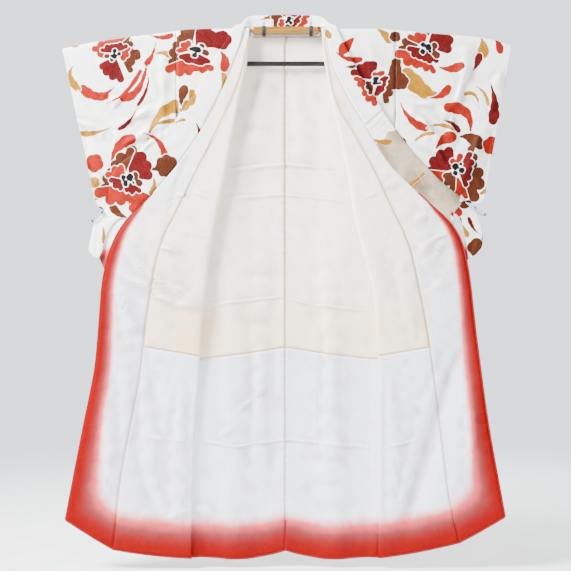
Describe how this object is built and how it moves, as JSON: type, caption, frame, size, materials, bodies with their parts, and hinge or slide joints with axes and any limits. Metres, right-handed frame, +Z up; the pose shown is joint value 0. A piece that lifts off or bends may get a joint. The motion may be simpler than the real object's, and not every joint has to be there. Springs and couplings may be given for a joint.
{
  "type": "komon kimono on a hanger",
  "caption": "Lined komon kimono hanging open on a bamboo hanger, both fronts folded back to show the lining and the red-edged skirt lining.",
  "frame": {"origin": "middle of the hanger's bamboo pole, where the hanger is held", "axes": "+Z up; the garment's front faces -Y; +X is to the right for someone facing the front"},
  "size_m": [1.3024, 0.0707, 1.6155],
  "materials": {
    "silk": "printed silk crepe, matt",
    "lining": "plain silk, soft sheen",
    "skirt_lining": "silk satin, dyed red along the edge",
    "bamboo": "varnished bamboo",
    "black": "black, matt",
    "clip": "white plastic"
  },
  "bodies": {
    "root": {"back_left": "silk", "back_right": "silk", "front_left": "silk", "front_right": "silk", "okumi_left": "silk", "okumi_right": "silk", "sleeve_left": "silk", "sleeve_right": "silk", "collar": "silk", "collar_cover": "silk", "body_lining_back_left": "lining", "body_lining_back_right": "lining", "body_lining_front_left": "lining", "body_lining_front_right": "lining", "skirt_lining_back_left": "skirt_lining", "skirt_lining_back_right": "skirt_lining", "skirt_lining_front_left": "skirt_lining", "skirt_lining_front_right": "skirt_lining", "okumi_lining_left": "skirt_lining", "okumi_lining_right": "skirt_lining", "hanger_pole": "bamboo", "hanger_arm_left": "bamboo", "hanger_arm_right": "bamboo", "hanger_band_left": "black", "hanger_band_right": "black", "hanger_wire_left": "black", "hanger_wire_right": "black", "hanger_link_left": "black", "hanger_link_right": "black", "hanger_obi_bar": "black", "clip_left": "clip", "clip_right": "clip"}
  },
  "joints": []
}
